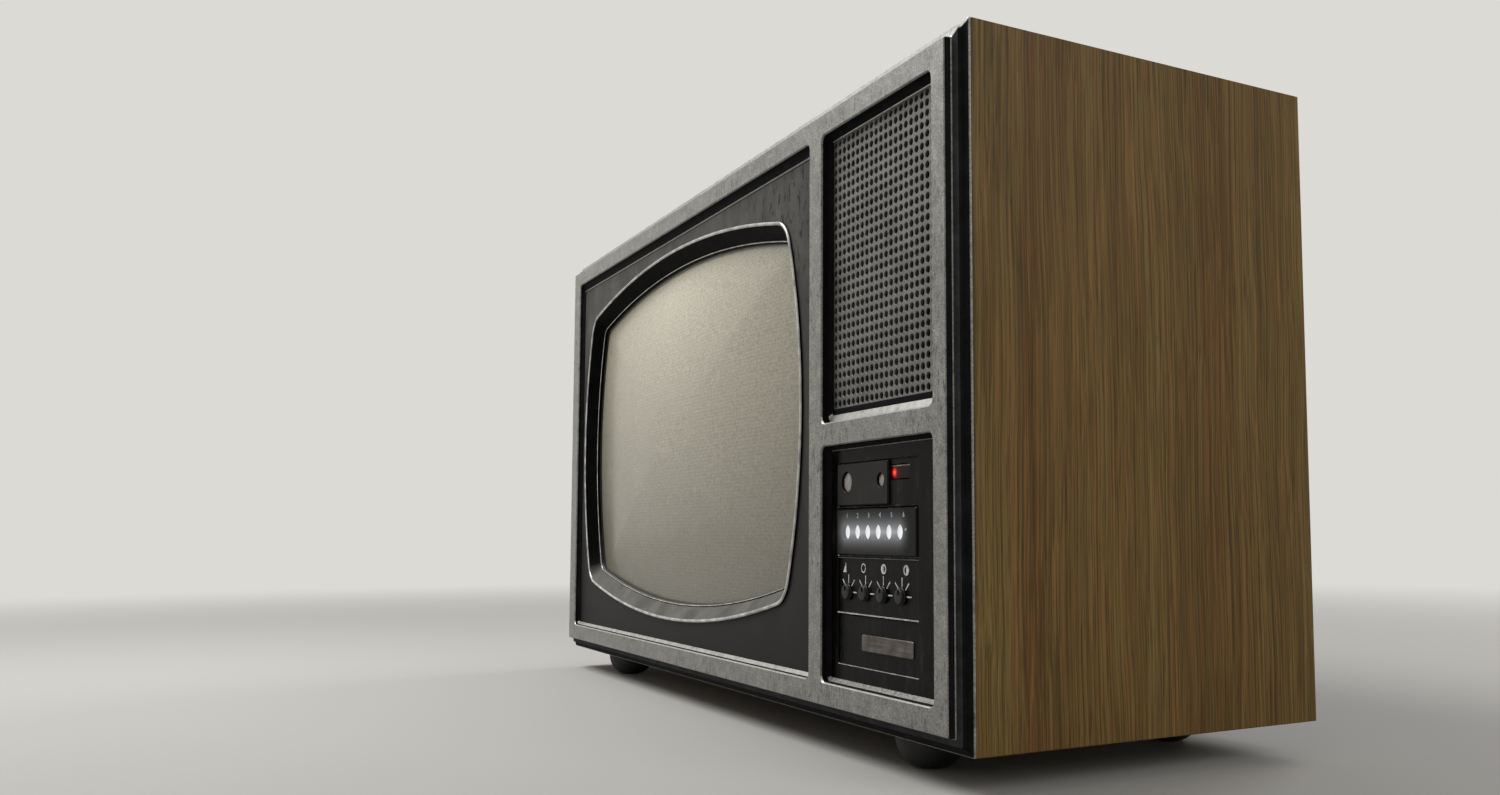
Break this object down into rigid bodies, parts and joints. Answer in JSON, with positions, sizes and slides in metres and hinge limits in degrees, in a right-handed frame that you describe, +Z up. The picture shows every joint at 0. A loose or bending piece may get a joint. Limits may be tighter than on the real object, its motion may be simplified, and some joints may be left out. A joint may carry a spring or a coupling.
{
  "type": "tube television",
  "caption": "Free-standing tube television with a veneered cabinet, moulded front frame, bulged screen, pierced loudspeaker grille and a panel of push buttons and rotary knobs.",
  "frame": {"origin": "middle of the footprint, at the bottom of the feet", "axes": "+X to the right of a viewer in front, +Y from the screen to the back, +Z up"},
  "size_m": [0.69, 0.3304, 0.389],
  "materials": {
    "oak_veneer": "satin veneer on board",
    "raw_pine": "sawn",
    "silver_grey_paint": "fine metallic paint on plastic",
    "dark_grey_plastic": "fine texture",
    "gloss_black_plastic": "gloss",
    "black_rubber": "matt",
    "grey_tube_glass": "polished, phosphor behind",
    "plated_steel": "zinc plated",
    "painted_steel_sheet": "satin",
    "ferrite_and_winding": "matt",
    "cone_paper": "pressed paper",
    "lit_white_plastic": "translucent, lit from behind",
    "pale_grey_plastic": "satin",
    "red_lens": "clear red",
    "circuit_board": "paper laminate",
    "brown_moulded_plastic": "moulded"
  },
  "bodies": {
    "television_set": {"cabinet_top_panel": "oak_veneer", "cabinet_bottom_panel": "oak_veneer", "cabinet_left_side": "oak_veneer", "cabinet_right_side": "oak_veneer", "rear_batten_left": "raw_pine", "rear_batten_right": "raw_pine", "front_frame": "silver_grey_paint", "screen_mask": "dark_grey_plastic", "tube_surround": "gloss_black_plastic", "tube_gasket": "black_rubber", "speaker_grille": "dark_grey_plastic", "control_fascia": "gloss_black_plastic", "indicator_lens": "red_lens", "picture_tube": "grey_tube_glass", "tube_rim_band": "plated_steel", "electron_gun": "plated_steel", "deflection_yoke": "ferrite_and_winding", "tube_socket": "brown_moulded_plastic", "anode_cap": "black_rubber", "anode_lead": "black_rubber", "tube_screw_1": "plated_steel", "tube_screw_2": "plated_steel", "tube_screw_3": "plated_steel", "tube_screw_4": "plated_steel", "speaker_basket": "plated_steel", "speaker_cone": "cone_paper", "speaker_magnet": "ferrite_and_winding", "potentiometer_bank": "circuit_board", "program_switch_bank": "brown_moulded_plastic", "mains_switch": "brown_moulded_plastic", "indicator_board": "circuit_board", "control_bracket": "painted_steel_sheet", "chassis_tray": "painted_steel_sheet", "main_circuit_board": "circuit_board", "line_output_transformer": "ferrite_and_winding", "filter_capacitor": "gloss_black_plastic", "tuner_box": "plated_steel", "back_cover": "dark_grey_plastic", "aerial_socket": "plated_steel", "mains_inlet": "brown_moulded_plastic", "back_cover_screw_1": "plated_steel", "back_cover_screw_2": "plated_steel", "back_cover_screw_3": "plated_steel", "back_cover_screw_4": "plated_steel", "foot_front_left": "black_rubber", "foot_front_right": "black_rubber", "foot_rear_left": "black_rubber", "foot_rear_right": "black_rubber"},
    "program_button_1": {"program_button_1": "lit_white_plastic"},
    "program_button_2": {"program_button_2": "lit_white_plastic"},
    "program_button_3": {"program_button_3": "lit_white_plastic"},
    "program_button_4": {"program_button_4": "lit_white_plastic"},
    "program_button_5": {"program_button_5": "lit_white_plastic"},
    "program_button_6": {"program_button_6": "lit_white_plastic"},
    "power_button": {"power_button": "pale_grey_plastic"},
    "tuning_lock_button": {"tuning_lock_button": "pale_grey_plastic"},
    "volume_knob": {"volume_knob": "gloss_black_plastic"},
    "brightness_knob": {"brightness_knob": "gloss_black_plastic"},
    "contrast_knob": {"contrast_knob": "gloss_black_plastic"},
    "tone_knob": {"tone_knob": "gloss_black_plastic"}
  },
  "joints": [
    {"name": "program_button_1_press", "type": "slide", "parent": "television_set", "child": "program_button_1", "axis": [0, 1, 0], "range_m": [0, 0.0015], "stiffness_N_per_m": 400},
    {"name": "program_button_2_press", "type": "slide", "parent": "television_set", "child": "program_button_2", "axis": [0, 1, 0], "range_m": [0, 0.0015], "stiffness_N_per_m": 400},
    {"name": "program_button_3_press", "type": "slide", "parent": "television_set", "child": "program_button_3", "axis": [0, 1, 0], "range_m": [0, 0.0015], "stiffness_N_per_m": 400},
    {"name": "program_button_4_press", "type": "slide", "parent": "television_set", "child": "program_button_4", "axis": [0, 1, 0], "range_m": [0, 0.0015], "stiffness_N_per_m": 400},
    {"name": "program_button_5_press", "type": "slide", "parent": "television_set", "child": "program_button_5", "axis": [0, 1, 0], "range_m": [0, 0.0015], "stiffness_N_per_m": 400},
    {"name": "program_button_6_press", "type": "slide", "parent": "television_set", "child": "program_button_6", "axis": [0, 1, 0], "range_m": [0, 0.0015], "stiffness_N_per_m": 400},
    {"name": "power_button_press", "type": "slide", "parent": "television_set", "child": "power_button", "axis": [0, 1, 0], "range_m": [0, 0.002], "stiffness_N_per_m": 400},
    {"name": "tuning_lock_button_press", "type": "slide", "parent": "television_set", "child": "tuning_lock_button", "axis": [0, 1, 0], "range_m": [0, 0.0015], "stiffness_N_per_m": 400},
    {"name": "volume_knob_turn", "type": "hinge", "parent": "television_set", "child": "volume_knob", "pos_m": [0.2195, -0.15745, 0.0948], "axis": [0, 1, 0], "range_deg": [-135, 135]},
    {"name": "brightness_knob_turn", "type": "hinge", "parent": "television_set", "child": "brightness_knob", "pos_m": [0.23957, -0.15745, 0.0948], "axis": [0, 1, 0], "range_deg": [-135, 135]},
    {"name": "contrast_knob_turn", "type": "hinge", "parent": "television_set", "child": "contrast_knob", "pos_m": [0.25964, -0.15745, 0.0948], "axis": [0, 1, 0], "range_deg": [-135, 135]},
    {"name": "tone_knob_turn", "type": "hinge", "parent": "television_set", "child": "tone_knob", "pos_m": [0.27971, -0.15745, 0.0948], "axis": [0, 1, 0], "range_deg": [-135, 135]}
  ]
}
